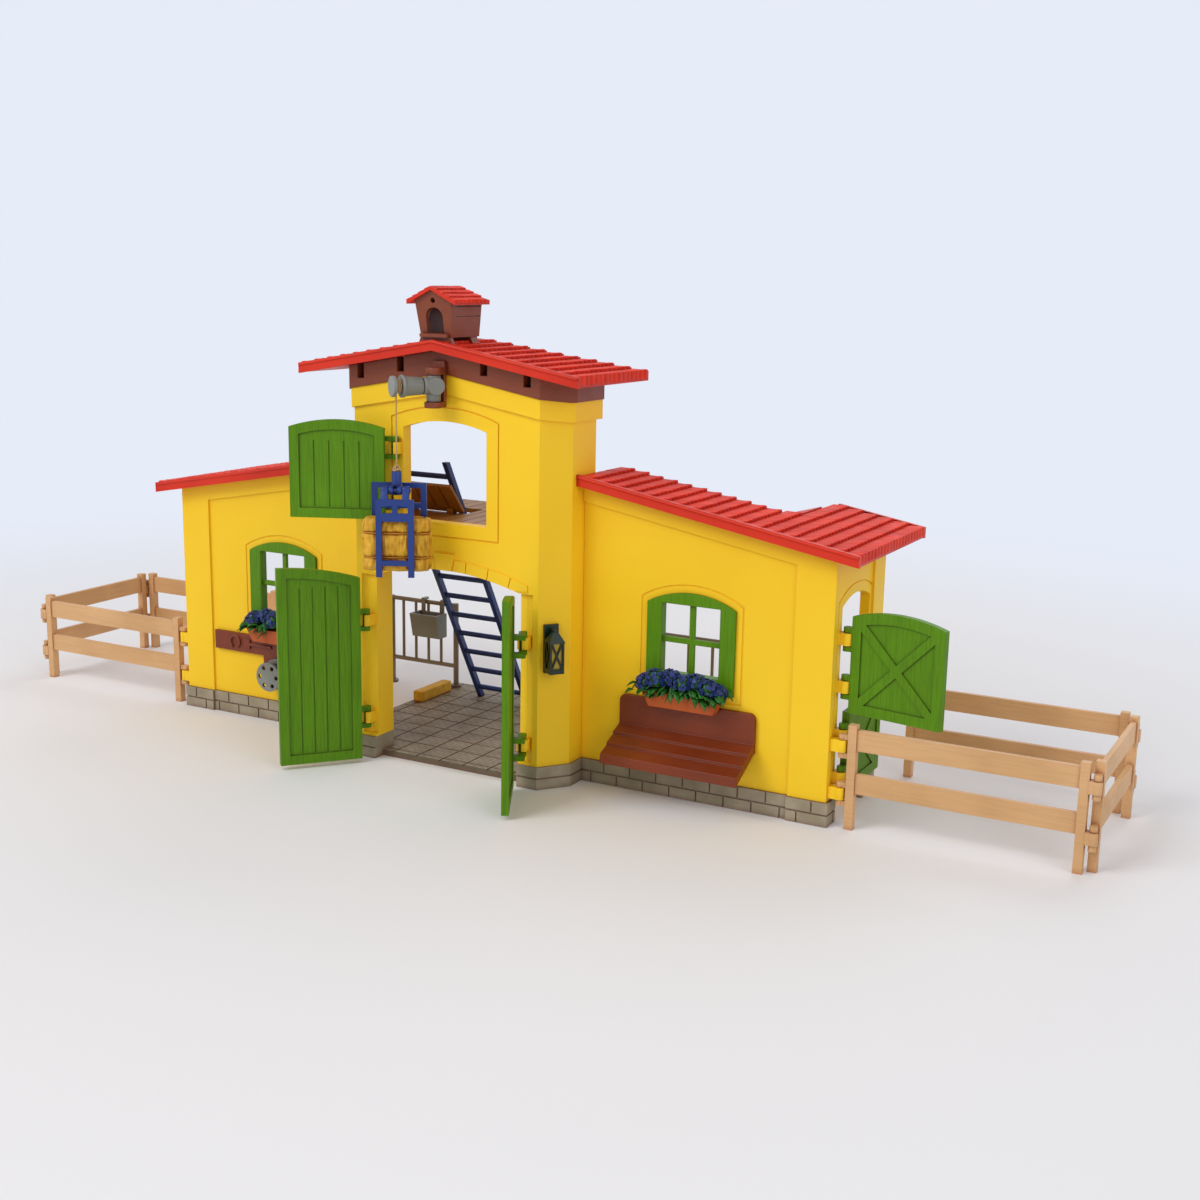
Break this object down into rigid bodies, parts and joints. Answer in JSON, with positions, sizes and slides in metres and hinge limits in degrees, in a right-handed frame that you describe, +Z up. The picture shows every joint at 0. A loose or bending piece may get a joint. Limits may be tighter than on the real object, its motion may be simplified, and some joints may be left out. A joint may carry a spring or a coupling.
{
  "type": "toy barn with opening doors",
  "caption": "Toy barn with a gabled tower, two wings with lean-to roofs, clip-hinged doors, a roof crane with bale grab, a loft hatch and folding fence pens.",
  "frame": {"origin": "on the ground, in the middle of the barn, in the plane of the wing fronts", "axes": "+X to the right along the wings, -Y out of the front, +Z up"},
  "size_m": [0.7931, 0.2309, 0.3018],
  "materials": {
    "wall_yellow": "satin moulded",
    "roof_red": "satin moulded, tiled relief",
    "timber_brown": "satin moulded, plank relief",
    "door_green": "satin moulded, plank relief",
    "plinth_stone": "matt moulded, brick relief",
    "floor_tile": "matt moulded, tile relief",
    "fence_tan": "satin moulded, wood grain relief",
    "metal_blue": "satin moulded",
    "crane_grey": "satin moulded",
    "stall_grey": "satin moulded",
    "lamp_green": "satin painted",
    "lamp_glass": "painted panes",
    "bench_brown": "satin moulded, plank relief",
    "terracotta": "matt moulded",
    "blossom": "painted flowers and leaves",
    "loft_wood": "satin moulded, plank relief",
    "rope": "twisted cord",
    "straw": "rough straw relief",
    "hose_navy": "satin"
  },
  "bodies": {
    "barn": {"tower_wall": "wall_yellow", "tower_plinth": "plinth_stone", "tower_frieze": "timber_brown", "tower_roof": "roof_red", "floor_plate": "floor_tile", "front_wall_right": "wall_yellow", "front_wall_left": "wall_yellow", "end_wall_right": "wall_yellow", "end_wall_left": "wall_yellow", "plinth_right": "plinth_stone", "plinth_left": "plinth_stone", "wing_roof_right": "roof_red", "wing_roof_left": "roof_red", "dovecote_box": "timber_brown", "dovecote_roof": "roof_red", "crane_bracket": "timber_brown", "loft_floor": "loft_wood", "ladder": "metal_blue", "window_right": "door_green", "window_left": "door_green", "flower_box_right": "terracotta", "flower_box_left": "terracotta", "flowers_right": "blossom", "flowers_left": "blossom", "bench": "bench_brown", "tool_board": "bench_brown", "hose_reel": "crane_grey", "hose_winding": "hose_navy", "stall_gate_left": "stall_grey", "stall_gate_right": "stall_grey", "feed_trough": "crane_grey", "stall_base": "straw", "lantern_frame": "lamp_green", "lantern_glass": "lamp_glass"},
    "front_door_left": {"front_door_left": "door_green"},
    "front_door_right": {"front_door_right": "door_green"},
    "loft_door": {"loft_door": "door_green"},
    "side_door_upper": {"side_door_upper": "door_green"},
    "side_door_lower": {"side_door_lower": "door_green"},
    "hatch_flap": {"hatch_flap": "loft_wood"},
    "crane": {"crane_head": "crane_grey", "hoist_rope": "rope"},
    "winch": {"winch_drum": "crane_grey"},
    "grab": {"grab_hanger": "metal_blue", "hay_bale": "straw"},
    "grab_jaw": {"grab_jaw": "metal_blue"},
    "fence_right_front": {"fence_right_front": "fence_tan"},
    "fence_right_side": {"fence_right_side": "fence_tan"},
    "fence_right_back": {"fence_right_back": "fence_tan"},
    "fence_left_front": {"fence_left_front": "fence_tan"},
    "fence_left_side": {"fence_left_side": "fence_tan"},
    "fence_left_back": {"fence_left_back": "fence_tan"}
  },
  "joints": [
    {"name": "front_door_left_hinge", "type": "hinge", "parent": "barn", "child": "front_door_left", "pos_m": [-0.0585, -0.0348, 0.06], "axis": [0, 0, 1], "range_deg": [-44, 130]},
    {"name": "front_door_right_hinge", "type": "hinge", "parent": "barn", "child": "front_door_right", "pos_m": [0.0585, -0.0348, 0.06], "axis": [0, 0, -1], "range_deg": [-44, 118.5]},
    {"name": "loft_door_hinge", "type": "hinge", "parent": "barn", "child": "loft_door", "pos_m": [-0.0346, -0.035, 0.18775], "axis": [0, 0, 1], "range_deg": [-18, 32]},
    {"name": "side_door_upper_hinge", "type": "hinge", "parent": "barn", "child": "side_door_upper", "pos_m": [0.2471, 0.0098, 0.096], "axis": [0, 0, 1], "range_deg": [-10, 101]},
    {"name": "side_door_lower_hinge", "type": "hinge", "parent": "barn", "child": "side_door_lower", "pos_m": [0.2471, 0.0098, 0.04025], "axis": [0, 0, 1], "range_deg": [-86, 0]},
    {"name": "hatch_flap_hinge", "type": "hinge", "parent": "barn", "child": "hatch_flap", "pos_m": [-0.05, 0.028, 0.157], "axis": [1, 0, 0], "range_deg": [0, 44]},
    {"name": "crane_swivel", "type": "hinge", "parent": "barn", "child": "crane", "pos_m": [0, -0.043, 0.2435], "axis": [0, 0, 1], "range_deg": [-12, 36]},
    {"name": "hoist_lift", "type": "slide", "parent": "crane", "child": "grab", "axis": [0, 0, 1], "range_m": [-0.126, 0.038], "deforming": ["hoist_rope"]},
    {"name": "winch_turn", "type": "hinge", "parent": "crane", "child": "winch", "pos_m": [0, -0.043, 0.2435], "axis": [-0.5878, -0.809, 0], "range_deg": [-614, 2034]},
    {"name": "grab_jaw_hinge", "type": "hinge", "parent": "grab", "child": "grab_jaw", "pos_m": [-0.01323, -0.06406, 0.182], "axis": [-0.8805, -0.4741, 0], "range_deg": [0, 40]},
    {"name": "fence_right_front_hinge", "type": "hinge", "parent": "barn", "child": "fence_right_front", "pos_m": [0.2494, 0.003, 0.03475], "axis": [0, 0, 1], "range_deg": [-60, 0]},
    {"name": "fence_right_side_hinge", "type": "hinge", "parent": "fence_right_front", "child": "fence_right_side", "pos_m": [0.3914, 0.003, 0.03475], "axis": [0, 0, 1], "range_deg": [-90, 0]},
    {"name": "fence_right_back_hinge", "type": "hinge", "parent": "fence_right_side", "child": "fence_right_back", "pos_m": [0.3914, 0.1145, 0.03475], "axis": [0, 0, 1], "range_deg": [-90, 0]},
    {"name": "fence_left_front_hinge", "type": "hinge", "parent": "barn", "child": "fence_left_front", "pos_m": [-0.2494, 0.003, 0.03475], "axis": [0, 0, -1], "range_deg": [-60, 0]},
    {"name": "fence_left_side_hinge", "type": "hinge", "parent": "fence_left_front", "child": "fence_left_side", "pos_m": [-0.3914, 0.003, 0.03475], "axis": [0, 0, -1], "range_deg": [-90, 0]},
    {"name": "fence_left_back_hinge", "type": "hinge", "parent": "fence_left_side", "child": "fence_left_back", "pos_m": [-0.39529, 0.11443, 0.03475], "axis": [0, 0, -1], "range_deg": [-90, 0]}
  ],
  "couplings": [
    {"joint": "winch_turn", "follows": "hoist_lift", "rad_per_m": -281.69}
  ]
}
